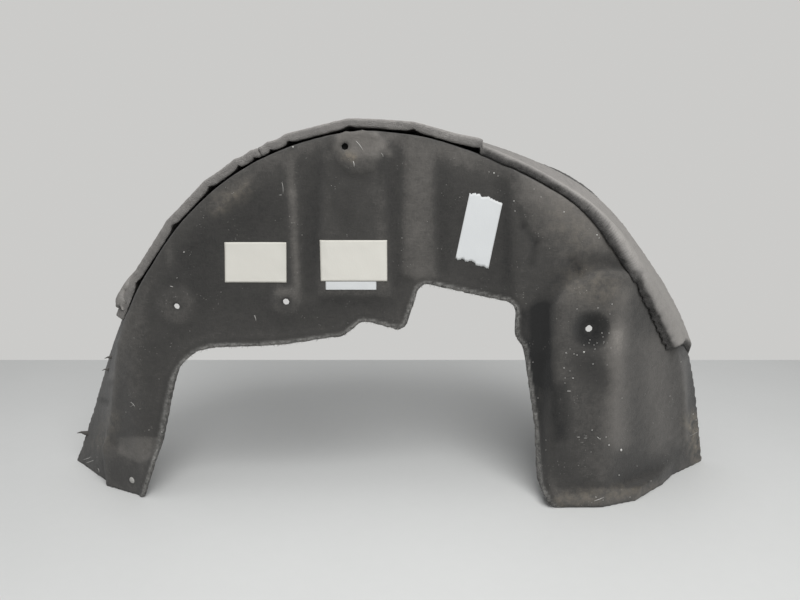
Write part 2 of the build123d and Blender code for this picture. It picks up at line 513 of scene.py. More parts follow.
# Felt that fills the opening's left corner: place, spread, direction and reach in mm.
FILL_AT = (-266, 198)
FILL_SPREAD = 24
FILL_WAY = (0.62, -0.78)
FILL_REACH = 5.5

# Corners of the opening between the legs: X, Z and fillet radius.
CUTOUT = (
    (-348, -30, 0), (-304, 82, 60), (-271, 204, 60), (-150, 209, 60), (-69, 221, 18), (-46, 240, 12),
    (5, 227, 12), (25, 288, 12), (141, 262, 14), (142, 222, 14), (153, 206, 14), (172, 100, 60),
    (179, 26, 40), (189, 5, 14), (222, -14, 0),
)

# Brush strokes between two pixels, mostly painted highlight and shade on the relief, some the felt's own
# lighter and darker patches: width in pixels, then lighter or darker.
SHELL_LIGHT_AND_TONE_STROKES = (
    (150, 270, 260, 210, 30, -0.08), (200, 250, 205, 285, 24, -0.09), (245, 225, 262, 205, 20, -0.06),
    (240, 300, 330, 310, 22, -0.05), (320, 200, 322, 260, 14, -0.06), (326, 172, 346, 226, 9, -0.08),
    (328, 150, 332, 141, 4, -0.07), (352, 146, 375, 150, 15, 0.06), (340, 137, 356, 131, 3, 0.08),
    (356, 131, 376, 135, 3, 0.08), (376, 135, 391, 158, 3, 0.08), (383, 154, 380, 182, 3, -0.09),
    (362, 180, 368, 232, 12, -0.01), (350, 195, 352, 215, 7, -0.05), (388, 178, 392, 235, 8, -0.04),
    (418, 170, 420, 285, 15, 0.12), (395, 143, 462, 158, 11, 0.1), (440, 200, 446, 270, 8, -0.03),
    (455, 200, 500, 285, 26, -0.09), (504, 180, 512, 262, 10, -0.07), (520, 208, 523, 226, 4, -0.13),
    (524, 228, 536, 243, 4, -0.13), (536, 243, 532, 264, 4, -0.12), (540, 190, 590, 235, 24, 0.22),
    (548, 225, 562, 262, 14, 0.06), (572, 262, 580, 272, 5, -0.14), (568, 293, 618, 290, 13, 0.05),
    (590, 268, 610, 262, 8, -0.05), (541, 308, 542, 376, 10, -0.32), (545, 380, 558, 470, 11, -0.14),
    (590, 331, 594, 334, 16, -0.15), (588, 362, 604, 380, 13, -0.14), (578, 385, 590, 470, 18, 0.05),
    (624, 296, 619, 342, 11, 0.12), (617, 335, 620, 440, 12, 0.28), (654, 350, 664, 440, 20, 0.24),
    (640, 250, 680, 330, 14, -0.05), (684, 362, 686, 437, 2.5, 0.12), (694, 372, 697, 425, 4, -0.14),
    (556, 489, 634, 490, 2.5, 0.1), (560, 500, 640, 499, 7, 0.13), (634, 489, 676, 470, 3, -0.09),
    (655, 486, 690, 470, 7, 0.05), (670, 445, 676, 452, 6, -0.08), (126, 322, 113, 375, 3.5, 0.07),
    (113, 375, 110, 425, 3.5, 0.07), (112, 350, 104, 402, 3.5, -0.04), (150, 350, 140, 430, 14, -0.03),
    (126, 446, 150, 448, 10, 0.12), (118, 474, 140, 484, 11, -0.03), (288, 160, 291, 192, 6, 0.07),
    (293, 192, 298, 285, 4.5, 0.14), (278, 290, 312, 299, 7, 0.09), (286, 301, 287, 302, 5, -0.1),
    (184, 290, 190, 298, 6, 0.08), (169, 245, 171, 270, 3.5, 0.08), (217, 207, 245, 185, 7, 0.11),
)
# Areas of another tone, mostly painted highlight and shade on the relief and in recesses: outline in
# pixels, width of the edge, then lighter or darker.
SHELL_LIGHT_AND_TONE_AREAS = (
    (((334, 150), (337, 139), (345, 133.5), (359, 131), (374, 135.5), (386, 144), (393, 155), (388, 157),
      (372, 158), (352, 157), (339, 152)), 5, 0.2),
    (((553, 289), (563, 283), (574, 281), (596, 283), (616, 279), (631, 289), (632, 300), (624, 316),
      (614, 320), (596, 310), (580, 310), (567, 304), (555, 298)), 4, 0.02),
    (((573, 330), (576, 318), (586, 311), (598, 311), (608, 318), (611, 331), (607, 343), (597, 349),
      (584, 348), (576, 342)), 3, -0.08),
    (((119, 437), (158, 437), (157, 446), (149, 459), (139, 463), (128, 458), (118, 452)), 2, 0.14),
    (((519, 311), (528, 307), (547, 305), (549, 340), (550, 382), (543, 384), (531, 374),
      (524, 350)), 5, -0.24),
    (((548, 384), (566, 384), (570, 420), (566, 440), (556, 440), (551, 410)), 6, -0.24),
    (((687, 362), (692, 362), (699, 400), (703, 440), (688, 437)), 1.5, -0.05),
    (((506, 178), (518, 190), (521, 214), (525, 230), (538, 243), (535, 262), (522, 285),
      (502, 280)), 3, -0.03),
)
DIRT_STROKES = (
    (692, 420, 702, 462, 8, 0.8), (345, 154, 352, 157, 4, 0.8), (218, 206, 244, 188, 8, 0.3),
    (560, 500, 650, 490, 8, 0.35), (580, 284, 606, 290, 16, 0.25), (560, 215, 580, 240, 20, 0.15),
    (112, 420, 100, 445, 9, 0.25),
)
# Strokes that raise or sink the felt: width in pixels, then mm outwards.
DENTS = (
    (519, 206, 523, 226, 4, -1.2), (523, 226, 537, 243, 4, -1.4), (537, 243, 532, 264, 4, -1.2),
    (573, 261, 580, 276, 5, -2.2), (592, 262, 606, 250, 5, -0.8), (127, 317, 119, 344, 4, 1.2),
    (119, 344, 112, 380, 4, 1.4), (112, 380, 110, 427, 4, 1.2), (684, 360, 686, 440, 4, 1.5),
    (382, 154, 378, 186, 4, -1), (335, 148, 338, 138, 3, 1.3), (338, 138, 346, 133, 3, 1.4),
    (346, 133, 360, 131, 3, 1.4), (360, 131, 375, 136, 3, 1.4), (375, 136, 387, 145, 3, 1.4),
    (387, 145, 393, 156, 3, 1.2), (102, 402, 107, 404, 3, -2), (78, 464, 86, 468, 3, -1.5),
    (330, 205, 345, 222, 9, -0.8), (418, 185, 420, 270, 8, 0.8),
)


def rounded(corners, step=2.0, arc_points=9):
    """Points along an outline with filleted corners, in mm of the drawing."""
    spots = []
    for i, (x, z, radius) in enumerate(corners):
        here = np.array((x, z), dtype=float)
        if radius == 0:
            spots.append(here)
            continue
        before = np.array(corners[i - 1][:2]) - here
        after = np.array(corners[i + 1][:2]) - here
        before /= norm(before)
        after /= norm(after)
        half = math.acos(before @ after) / 2
        middle = (before + after) / norm(before + after)
        hub = here + middle * radius / math.sin(half)
        start = before * radius / math.tan(half) + here - hub
        end = after * radius / math.tan(half) + here - hub
        for t in np.linspace(0, 1, arc_points):
            arm = start * (1 - t) + end * t
            spots.append(hub + arm * radius / norm(arm))
    line = [spots[0]]
    for a, b in zip(spots, spots[1:]):
        pieces = max(int(norm(b - a) / step), 1)
        line += [a + (b - a) * n / pieces for n in range(1, pieces + 1)]
    return np.array(line)


def gap_to_line(points, line):
    """Distance in mm from each point, seen from the front, to a line of the drawing."""
    flat = np.stack([(points[:, 0] - MIDDLE) / MM, points[:, 2] / MM], axis=1)
    tree = KDTree(len(line))
    for i, spot in enumerate(line):
        tree.insert((spot[0], spot[1], 0), i)
    tree.balance()
    return np.array([tree.find((x, z, 0))[2] for x, z in flat])


def shell_mesh():
    """Felt shell with softened edges, an uneven surface and painted tones, much of them painted
    highlight and shade.
    """
    mesh, edges, points = remeshed("liner_shell", SHELL_VOXEL)
    write_points(mesh, points)
    even = spread(spread(read(mesh.vertices, "normal"), edges), edges)
    flat = smooth_step(*FLATNESS, norm(even, axis=1))
    points = eased(points, edges, FLAT_ROUNDS, FLAT_SHARE * flat[:, None])
    points = eased(points, edges, EDGE_ROUNDS, EDGE_SHARE * (1 - flat[:, None]))
    blurred = points
    for _ in range(BLUR_ROUNDS):
        blurred = spread(blurred, edges)
    write_points(mesh, points)
    normals = read(mesh.vertices, "normal")
    relief = ((points - blurred) * normals).sum(axis=1)
    swell = wave(points, *SWELL) + wave(points, *GRAIN)
    ragged = wave(points, *RAGGED) * (1 - flat)
    ground = points[:, 2] < GROUND
    spots = pixels(points)
    facing = smooth_step(*FACING, -normals[:, 1])
    dents = stroke_sum(spots, DENTS) * MM * facing
    points = points + normals * (swell + ragged + dents)[:, None]
    points[:, 2] = np.maximum(points[:, 2], 0)
    points[ground, 2] = 0
    corner = np.array(place(FILL_AT[0], 0, FILL_AT[1]))
    far = norm((points - corner)[:, [0, 2]], axis=1) / MM
    points[:, [0, 2]] += np.outer(FILL_REACH * MM * np.exp(-((far / FILL_SPREAD) ** 2)), FILL_WAY)
    write_points(mesh, points)
    # Felt tone with painted highlight and shade from the strokes and areas, and on raised and sunken
    # felt.
    tone = FELT_TONE + (stroke_sum(spots, SHELL_LIGHT_AND_TONE_STROKES) + area_sum(spots, SHELL_LIGHT_AND_TONE_AREAS)) * facing
    tone += RELIEF_LIGHT_SHADE * np.clip(relief / RELIEF, -1, 1) * flat * facing
    gap = gap_to_line(points, rounded(CUTOUT))
    near_wall = points[:, 1] < WALL_Y + LIP_DEPTH
    leg = smooth_step(*LEG_LIP_START, points[:, 2]) * (1 - smooth_step(*LEG_LIP_END, points[:, 2]))
    leg *= points[:, 0] < place(LEG_LIP_SIDE, 0, 0).x
    lip = HEM_WIDTH + (LEG_LIP - HEM_WIDTH) * leg
    hem = smooth_step(0, HEM_START, gap) * (1 - smooth_step(HEM_WHOLE * lip, lip, gap)) * near_wall
    # Painted shade in the groove behind the lip.
    groove_shade = np.exp(-(((gap - lip - GROOVE_AT) / GROOVE_WIDTH) ** 2)) * facing
    rim = np.exp(-((gap / RIM_WIDTH) ** 2)) * near_wall
    paint(mesh, "tone", tone - GROOVE_SHADE * groove_shade - RIM_TONE * rim)
    paint(mesh, "hem", hem * (1 - LEG_LIP_FADE * leg))
    paint(mesh, "dirt", np.clip(stroke_sum(spots, DIRT_STROKES) * facing, 0, 1))
    return mesh


# The foam strips.

FOAM_VOXEL = 0.0022
# Shares of smoothing that even the foam out without shrinking it.
FOAM_SHARES = (0.5, -0.52, 0.5, -0.52)
# Middle of the arch in the drawing, X and Z.
CENTRE = (-9, 121)
HUB = place(CENTRE[0], 0, CENTRE[1])
# Front wall: X where each wing starts, and how far it runs back for each mm outwards.
LEFT_BEND = -336
RIGHT_BEND = 295
LEFT_SLOPE = 0.613
RIGHT_SLOPE = 0.67
# Angles are in degrees from the top of the arch. Here the left strip gives way to the right.
JOINT = (16, 19)
# Where the foam is bent, and how far it stands off there and in the notch below, in mm.
KINKS = (-75, -62, -48, -37.4, -30.4, -27, -23.6, -20, -8, 4, 18, 28, 38, 47, 60, 80)
KINK_LIFT = 1.8
NOTCH_LIFT = 2.2
NOTCH_WIDTH = 0.07
NOTCH_END = 20
# Stand-off of the front edge in mm, and depths in metres over which it dies away.
LIFT = (
    (-80, 0.6), (-62, 1), (-48, 1.6), (-24, 2.2), (-8, 2.6), (4, 1.5), (12, 2.2), (17.3, 4.5),
    (18.6, 0.4), (80, 0),
)
LIFT_DEPTH = (0.006, 0.045)
# Uneven foam: size of features in metres, octaves, seed and height in metres.
LIFT_SWELL = (0.05, 2, 4, 0.0008)
LIFT_FULL = 0.004
FOAM_GRAIN = (0.006, 2, 6, 0.0003)
# Rough front edge: noise, depths in metres that it fades over, and height in mm.
EDGE_NOISE = (0.012, 3, 5)
EDGE_DEPTH = (0.003, 0.016)
EDGE_ROUGH = 0.8
# Cut front face: depths and heights in metres where it gives way to skin.
FRONT_DEPTH = (0.0008, 0.0045)
FRONT_HEIGHT = (0.0085, 0.0105)
# Lean of the normal outwards on skin, and inwards on the underside.
SKIN_LEAN = (0.3, 0.7)
UNDER_LEAN = (0.2, 0.6)
# Tones of skin and cut faces, the skin's paler tone partly its own and partly painted highlight; drop
# for the right strip's cut, painted shade on the underside, and rounds of blending.
SKIN_BASE = 0.59
CUT_TONE = 0.42
RIGHT_DROP = 0.34
UNDER_SHADE = 0.1
TONE_ROUNDS = 2
# Painted shade and highlight on the right strip's skin along the arch: shade near the top, highlight
# lower down where it faces the light less.
SKIN_SHADE_AND_HIGHLIGHT = ((14, 0), (18, -0.12), (35, -0.06), (50, 0.04), (64, 0.16), (80, 0.22))
# Slant of the right strip's lower end: start and end, how far the back reaches on, and at what depth.
SLANT_ANGLES = (52, 76)
SLANT = 11
SLANT_DEPTH = 0.07
# Share of its thickness that it loses there.
END_TAPER = 0.6
# How far the right strip's front edge laps over the wall, in mm, and how uneven that is.
LAP = (
    (17.3, 0), (18.6, 1), (24, 2), (32, 2), (36, 4), (42, 8), (49, 15), (57, 19), (64, 21), (73, 27),
    (80, 29),
)
LAP_ROUGH = 0.05
# Painted highlight on the skin where it is drawn over and faces forward, slight painted shade at its
# lower end, and depth in metres that has it.
LAP_HIGHLIGHT_AND_SHADE = ((17, 0.3), (40, 0.32), (48, 0.22), (56, 0.06), (64, -0.04), (80, -0.05))
LAP_LIGHT_DEPTH = 0.014
# Depth that is drawn over, slope of its cut face and thickness of the foam, in mm.
LAP_DEPTH = 26
LAP_BEVEL = 7
FOAM_THICK = 11
# Lap with the whole slope, least share and lap that move a point, least depth on the barrel, depths
# between which the foam turns from wall to barrel, and gap to the felt, in metres.
BEVEL_LAP = 0.01
LEAST_SHARE = 0.01
LEAST_LAP = 0.0002
LEAST_DEPTH = 0.0015
TURN_DEPTH = (-0.012, 0.008)
FELT_GAP = 0.0005
# Way out of the right wing; rays to the felt: start, reach, and steps forward where one misses.
WING_OUT = (0.3, -1, 0)
CAST_FROM = 0.08
CAST_REACH = 0.16
CAST_STEPS = (0, 0.004, 0.01)


def along_arch(table, angle):
    """Value of a table of (angle, value)."""
    return np.interp(angle, *zip(*table))


def felt_under(felt_tree, spot, away):
    """Felt under a spot of the foam, or under a place a little further forward, or None."""
    for forward in CAST_STEPS:
        start = spot + away * CAST_FROM
        start.y -= forward
        hit = felt_tree.ray_cast(start, -away, CAST_REACH)[0]
        if hit:
            hit.y = spot.y
            return hit
    return None


def draped(points, angle, depth, height, rough, felt_tree):
    """Laps the right strip's front edge over the wall, and draws the back of its lower end down."""
    share = smooth_step(*SLANT_ANGLES, angle) * smooth_step(0, SLANT_DEPTH, depth)
    near = np.clip(1 - depth / (LAP_DEPTH * MM), 0, 1)
    level = np.clip(height / (FOAM_THICK * MM), 0, 1)
    lap = along_arch(LAP, angle) * MM * (1 + LAP_ROUGH * rough)
    back = near * (LAP_BEVEL * MM * level * np.clip(lap / BEVEL_LAP, 0, 1) - lap)
    moved = points.copy()
    wing_out = Vector(WING_OUT).normalized()
    for i in np.flatnonzero((share > LEAST_SHARE) | ((near > 0) & (lap > LEAST_LAP))):
        turn = math.radians(angle[i] + SLANT * share[i])
        away = Vector((math.sin(turn), 0, math.cos(turn)))
        radius = norm((points[i] - HUB)[[0, 2]])
        along = max(depth[i], 0) + back[i]
        spot = HUB + away * radius
        spot.y = points[i, 1] + max(along, LEAST_DEPTH) - depth[i]
        base = felt_under(felt_tree, spot, away) or spot - away * float(height[i])
        if along < 0:
            front = base + away * along
            front.y = WALL_Y + IN_FRONT * MM
            base = felt_tree.ray_cast(front, BACKWARDS, -2 * IN_FRONT * MM)[0] or base
        turned = float(smooth_step(*TURN_DEPTH, along))
        stand = (away * turned + wing_out * (1 - turned)).normalized()
        thick = height[i] * (1 - END_TAPER * share[i])
        moved[i] = base + stand * (thick + FELT_GAP)
    return moved, depth + back


def foam_mesh(node, felt_tree):
    """Foam strip whose front edge stands off the felt and is bent in short straight runs."""
    mesh, edges, points = remeshed(node, FOAM_VOXEL)
    for share in FOAM_SHARES:
        points = eased(points, edges, 1, share)
    write_points(mesh, points)
    normals = read(mesh.vertices, "normal")
    x = (points[:, 0] - MIDDLE) / MM
    arm = (points - HUB) * (1, 0, 1)
    angle = np.degrees(np.arctan2(arm[:, 0], arm[:, 2]))
    outward = arm / norm(arm, axis=1)[:, None]
    lean = (normals * outward).sum(axis=1)
    knots = np.array(KINKS)
    index = np.clip(np.searchsorted(knots, angle) - 1, 0, len(knots) - 2)
    t = np.clip((angle - knots[index]) / (knots[index + 1] - knots[index]), 0, 1)
    bend = (2 * t - 1) ** 2
    wing = np.maximum(0, LEFT_BEND - x) * LEFT_SLOPE + np.maximum(0, x - RIGHT_BEND) * RIGHT_SLOPE
    depth = points[:, 1] - WALL_Y - wing * MM
    right = smooth_step(*JOINT, angle)
    height = norm(points - snap(points, "liner_shell"), axis=1)
    front = 1 - smooth_step(*FRONT_DEPTH, depth - np.percentile(depth, 2))
    front *= 1 - smooth_step(*FRONT_HEIGHT, height)
    skin = smooth_step(*SKIN_LEAN, lean)
    under = smooth_step(*UNDER_LEAN, -lean)
    near = 1 - smooth_step(*LIFT_DEPTH, depth)
    notch = np.exp(-((np.minimum(t, 1 - t) / NOTCH_WIDTH) ** 2)) * under * (angle < NOTCH_END)
    kink = KINK_LIFT * MM * bend * (1 - right)
    lift = near * (along_arch(LIFT, angle) * MM + kink + NOTCH_LIFT * MM * notch)
    lift += wave(points, *LIFT_SWELL) * smooth_step(0, LIFT_FULL, lift)
    rough = wave(points, *EDGE_NOISE)
    edge = 1 - smooth_step(*EDGE_DEPTH, depth)
    points = points + outward * lift[:, None]
    points[:, 1] -= edge * rough * EDGE_ROUGH * MM
    points, along = draped(points, angle, depth, height, rough, felt_tree)
    write_points(mesh, points)
    points += read(mesh.vertices, "normal") * wave(points, *FOAM_GRAIN)[:, None]
    write_points(mesh, points)
    paint(mesh, "skin", skin * (1 - front))
    cut = CUT_TONE - RIGHT_DROP * right
    # Skin paler than cut faces, partly painted highlight, and painted shade on the underside.
    tone = cut + (SKIN_BASE - cut) * skin * (1 - front * right) - UNDER_SHADE * under
    # Painted highlight and shade on the right strip's skin, along the arch and where it is drawn over.
    over = 1 - smooth_step(0, LAP_LIGHT_DEPTH, along)
    skin_light = along_arch(SKIN_SHADE_AND_HIGHLIGHT, angle) + over * along_arch(LAP_HIGHLIGHT_AND_SHADE, angle)
    tone += skin * (1 - front) * skin_light * right
    for _ in range(TONE_ROUNDS):
        tone = spread(tone[:, None], edges)[:, 0]
    paint(mesh, "tone", tone)
    return mesh


# Peeled skin at the left strip's lower end: angles, then depths, stand-off, skin and bite in mm.
FLAP_ANGLES = (-60, -68.5)
FLAP_DEPTH = (3, 34)
FLAP_LIFT = 7.5
FLAP_SKIN = 0.3
FLAP_BITE = 0.8
# Share of its length where it stands off most, fall after that, and raggedness.
FLAP_PEAK = 0.8
FLAP_FALL = 2.2
FLAP_RAGGED = 0.12
FLAP_TONE = 0.58
FLAP_ROWS = 16
FLAP_COLUMNS = 10
# Rays to the foam: start in metres from the arch's middle, and step in mm to the next.
FLAP_CAST = 0.6
FLAP_STEP = 2


def flap_mesh(foam_tree):
    """Layer of foam that has peeled outwards at the end of the left strip."""
    outer = []
    inner = []
    for i in range(FLAP_ROWS + 1):
        t = i / FLAP_ROWS
        angle = math.radians(FLAP_ANGLES[0] + (FLAP_ANGLES[1] - FLAP_ANGLES[0]) * t)
        away = Vector((math.sin(angle), 0, math.cos(angle)))
        for j in range(FLAP_COLUMNS + 1):
            s = j / FLAP_COLUMNS
            ragged = 1 + FLAP_RAGGED * noise.noise((t * 5, s * 6, 2.7))
            depth = FLAP_DEPTH[0] + (FLAP_DEPTH[1] - FLAP_DEPTH[0]) * s
            start = place(CENTRE[0], depth, CENTRE[1]) + away * FLAP_CAST
            hit = None
            while hit is None:
                hit = foam_tree.ray_cast(start, -away)[0]
                start.y += FLAP_STEP * MM
            lift = FLAP_LIFT * min(t / FLAP_PEAK, 1 - FLAP_FALL * (t - FLAP_PEAK)) * ragged
            outer.append(hit + away * (lift + FLAP_SKIN) * MM)
            inner.append(hit - away * FLAP_BITE * MM)
    mesh = slab_mesh("flap", outer, inner, FLAP_COLUMNS)
    paint(mesh, "skin", np.repeat((1, 0), len(outer)))
    paint(mesh, "tone", np.full(2 * len(outer), FLAP_TONE))
    return mesh


# The labels.

# Piece, CAD node, paper, corners in the drawing, lift of the corners in mm, and whether it is torn.
LABELS = (
    ("paper_left", "label_left", "paper",
     ((-212, 289), (-137.5, 288.7), (-135.5, 338), (-209.5, 338)), 0.6, False),
    ("paper_centre", "label_centre", "paper",
     ((-95.3, 291.6), (-15.3, 291.6), (-15.3, 341.2), (-95.3, 341.2)), 0.5, False),
    ("paper_lower", "label_lower", "cool_paper",
     ((-89.5, 281.2), (-28.5, 281.2), (-28.5, 291.2), (-89.5, 291.2)), 0.3, False),
    ("tape", "tape_label", "cool_paper",
     ((66.5, 318), (106.5, 305), (120.5, 383.5), (81.6, 396)), 0.8, True),
)
FIRST_SEED = 3
LABEL_COLUMNS = 40
LABEL_ROWS = 24
# Thickness and gap to the felt in mm, and rounds that draw a sheet flat over dips.
LABEL_THICK = 0.25
LABEL_GAP = 0.2
SHEET_ROUNDS = 6
# Torn ends: wander and jitter from column to column, in mm.
TEAR_WANDER = 0.7
TEAR_JITTER = 0.5
# Closeness of the lift to the corners and its range, then tone and closeness of the grubby edges.
CURL_POWER = 5
CURL_RANGE = (0.3, 1)
GRUBBY_TONE = 0.7
GRUBBY_POWER = 20


def sheet_depth(spots, felt_tree):
    """Depth in mm at which a stiff sheet lies on the felt."""
    hits = [felt_tree.ray_cast(place(x, IN_FRONT, z), BACKWARDS)[0] for x, z in spots]
    depth = np.array([(hit.y - WALL_Y) / MM for hit in hits])
    depth = depth.reshape(LABEL_ROWS + 1, LABEL_COLUMNS + 1)
    for _ in range(SHEET_ROUNDS):
        padded = np.pad(depth, 1, mode="edge")
        mean = (padded[:-2, 1:-1] + padded[2:, 1:-1] + padded[1:-1, :-2] + padded[1:-1, 2:]) / 4
        depth = np.minimum(depth, mean)
    return depth.ravel()


def label_mesh(corners, felt_tree, curl, torn, seed):
    """Thin sheet between four corners of the drawing, laid on the felt, with lifted corners."""
    wide = LABEL_COLUMNS + 1
    a, b, c, d = np.array(corners, dtype=float)
    rng = np.random.default_rng(seed)
    tear = np.cumsum(rng.normal(0, TEAR_WANDER, (2, wide)), axis=1)
    tear = tear - np.linspace(tear[:, 0], tear[:, -1], wide).T
    tear += rng.uniform(-TEAR_JITTER, TEAR_JITTER, (2, wide))
    s, t = np.meshgrid(np.linspace(0, 1, wide), np.linspace(0, 1, LABEL_ROWS + 1))
    s = s.ravel()
    t = t.ravel()
    low = a + (b - a) * s[:, None]
    high = d + (c - d) * s[:, None]
    if torn:
        column = np.round(s * LABEL_COLUMNS).astype(int)
        run = (high - low) / norm(high - low, axis=1)[:, None]
        low = low + run * tear[0, column][:, None]
        high = high + run * tear[1, column][:, None]
    spots = low + (high - low) * t[:, None]
    corner = np.abs((2 * s - 1) * (2 * t - 1)) ** CURL_POWER
    lifted = curl * corner * rng.uniform(*CURL_RANGE, 4)[(s > 0.5) + 2 * (t > 0.5)]
    level = sheet_depth(spots, felt_tree) - LABEL_GAP - lifted
    front = [place(x, y - LABEL_THICK, z) for (x, z), y in zip(spots, level)]
    back = [place(x, y, z) for (x, z), y in zip(spots, level)]
    mesh = slab_mesh("label", front, back, LABEL_COLUMNS)
    edge = GRUBBY_TONE * np.maximum(np.abs(2 * s - 1), np.abs(2 * t - 1)) ** GRUBBY_POWER
    paint(mesh, "grubby", np.concatenate([edge, edge]))
    return mesh


# Loose details.

# Crumbs on the felt: pixel and radius in mm.
CRUMBS = (
    (184, 252, 1.3), (177, 278, 0.8), (255, 316, 0.8), (221, 292, 0.7), (190, 331, 0.7), (159, 379, 0.7),
    (149, 430, 0.9), (162, 432, 1.2), (126, 412, 0.7), (134, 338, 0.7), (514, 201, 1), (515, 211, 0.9),
    (494, 173, 1.2), (498, 176, 0.8), (489, 172, 0.8), (541, 197, 0.8), (534, 189, 0.8), (597, 235, 1.4),
    (599, 238, 1), (564, 212, 1.1), (612, 304, 1), (652, 311, 1.4), (584, 352, 1.6), (574, 354, 0.9),
    (577, 355, 1), (566, 353, 1), (570, 349, 0.8), (564, 368, 1.3), (570, 371, 0.8), (573, 378, 1.1),
    (565, 378, 0.9), (565, 383, 0.8), (595, 349, 0.8), (597, 343, 0.9), (589, 343, 0.9), (594, 345, 0.9),
    (603, 337, 0.9), (602, 333, 1), (609, 333, 0.9), (604, 342, 0.8), (577, 309, 0.9), (598, 308, 0.9),
    (610, 314, 0.9), (611, 348, 0.8), (590, 340, 0.9), (584, 345, 0.8), (593, 364, 0.9), (592, 430, 1.1),
    (600, 439, 1), (606, 437, 1.1), (609, 445, 1.4), (621, 450, 2.4), (622, 398, 0.9), (619, 475, 1.1),
    (637, 466, 0.9), (546, 440, 0.8), (546, 450, 0.8), (538, 398, 0.8), (533, 362, 0.9), (586, 436, 0.8),
    (591, 452, 0.7), (607, 365, 0.7), (670, 396, 0.9), (653, 423, 0.8), (596, 497, 1.1), (603, 500, 0.9),
    (630, 497, 1), (651, 481, 1), (693, 414, 1.3), (696, 420, 1.2), (690, 428, 1.1), (681, 362, 1),
    (293, 147, 1.4), (402, 238, 0.8), (302, 235, 0.7), (140, 409, 0.7), (98, 446, 0.9), (97, 457, 0.8),
)
# Scratches and pale bristles on the felt: first and last pixel, and thickness in mm.
SCRATCHES = (
    (356, 141, 363, 150, 0.5), (381, 153, 383, 157, 0.7), (353, 161, 354, 167, 0.8),
    (282, 182, 283, 194, 0.5), (279, 195, 282, 195, 0.5), (254, 315, 256, 321, 0.4),
    (567, 391, 571, 391, 0.6), (577, 437, 580, 437, 0.6), (584, 438, 587, 438, 0.5),
    (597, 437, 599, 439, 0.5), (98, 468, 99, 473, 0.6), (170, 286, 173, 287, 0.5),
    (131, 402, 135, 407, 0.4), (130, 407, 134, 404, 0.4), (83, 460, 91, 457, 0.6),
    (86, 463, 94, 460, 0.6), (594, 501, 604, 497, 0.5), (536, 456, 538, 458, 0.5),
    (690, 436, 700, 430, 0.6),
)
# Taper of a scratch, its bow in pixels, lift as a share of its thickness, and range of tones.
SCRATCH_TAPER = (0.3, 0.6, 0.6, 0.5, 0.2)
SCRATCH_BOW = 0.6
SCRATCH_LIFT = 0.3
SCRATCH_TONE = (0.3, 0.8)
# Thorns on the left leg's outer edge: pixels of root and tip, and radius in mm.
THORNS = ((112, 357, 104.5, 358.5, 2.2), (109, 369, 102, 370.5, 2), (88, 433, 77, 433, 3))
# Places along a thorn, share of the radius there, and rise of its bend.
THORN_STEPS = (-0.2, 0.25, 0.6, 1)
THORN_TAPER = (1.2, 1, 0.5, 0.12)
THORN_BEND = 0.4
# Thorns are toned lighter than the felt, a painted highlight on thorns that sit in shade.
THORN_HIGHLIGHT_TONE = 0.5
# Fibres along the opening: number at each step, ranges of root, length and radius in mm, and of tone.
FIBRES = 3
FIBRE_ROOT = (0.8, 4.5)
FIBRE_LENGTH = (1, 3.4)
FIBRE_RADIUS = (0.12, 0.26)
FIBRE_TONE = (0.1, 0.95)
# Lean to the opening, along it and forward, droop, taper, and lowest root in mm.
FIBRE_LEAN = (0.2, 1)
FIBRE_SWAY = 0.8
FIBRE_FORWARD = -0.35
FIBRE_DROOP = -0.15
FIBRE_TAPER = (1, 0.8, 0.3)
FIBRE_FLOOR = 4
# Rings of a crumb: level and radius as shares of its size, and how uneven they are.
CRUMB_RINGS = ((-0.25, 0.9), (0.2, 1), (0.6, 0.55))
CRUMB_UNEVEN = (0.65, 1.15)
CRUMB_SIDES = 7
CRUMB_SIZE = 0.8
# Tone of a crumb: the least, and its rise with the radius.
CRUMB_TONE = 0.1
CRUMB_RISE = 0.45
CRUMB_SWING = (0.6, 1.2)
# A direction that no tube runs along.
OFF_AXIS = Vector((0.31, 0.22, 0.92))
# About how far the felt is from the camera, in metres.
WALL_GAP = 0.95


class Bits:
    """Gathers small shapes into one mesh."""

    def __init__(self):
        self.points = []
        self.faces = []
        self.tones = []

    def add(self, points, faces, tone):
        """Adds one shape with its tone."""
        start = len(self.points)
        self.points += points
        self.faces += [tuple(start + i for i in face) for face in faces]
        self.tones += [tone] * len(points)

    def tube(self, path, radius, taper, tone, sides=5):
        """Adds a closed tube along a path: radius in mm, and its share at each point."""
        points = []
        for i, spot in enumerate(path):
            run = path[min(i + 1, len(path) - 1)] - path[max(i - 1, 0)]
            side = run.cross(OFF_AXIS).normalized()
            rise = run.cross(side).normalized()
            points += [spot + spoke * (taper[i] * radius * MM) for spoke in spokes(side, rise, sides)]
        self.add(points, [face[::-1] for face in ring_faces(len(path), sides)], tone)

    def crumb(self, spot, normal, size, tone):
        """Adds an uneven crumb that lies on a surface."""
        side = normal.orthogonal().normalized()
        rise = normal.cross(side)
        points = []
        for level, reach in CRUMB_RINGS:
            for spoke in spokes(side, rise, CRUMB_SIDES):
                far = size * reach * RNG.uniform(*CRUMB_UNEVEN)
                points.append(spot + spoke * far + normal * level * size)
        self.add(points, ring_faces(len(CRUMB_RINGS), CRUMB_SIDES), tone)

    def mesh(self, name):
        """The gathered mesh, with its painted tones."""
        mesh = new_mesh(name, self.points, self.faces)
        paint(mesh, "tone", self.tones)
        return mesh


def on_felt(felt_tree, u, v):
    """Place and normal of the felt that a pixel shows, or of the felt nearest to its ray."""
    spot, normal = felt_tree.ray_cast(CAMERA_AT, ray(u, v))[:2]
    if spot is None:
        spot, normal = felt_tree.find_nearest(CAMERA_AT + ray(u, v) * WALL_GAP)[:2]
    return spot, normal


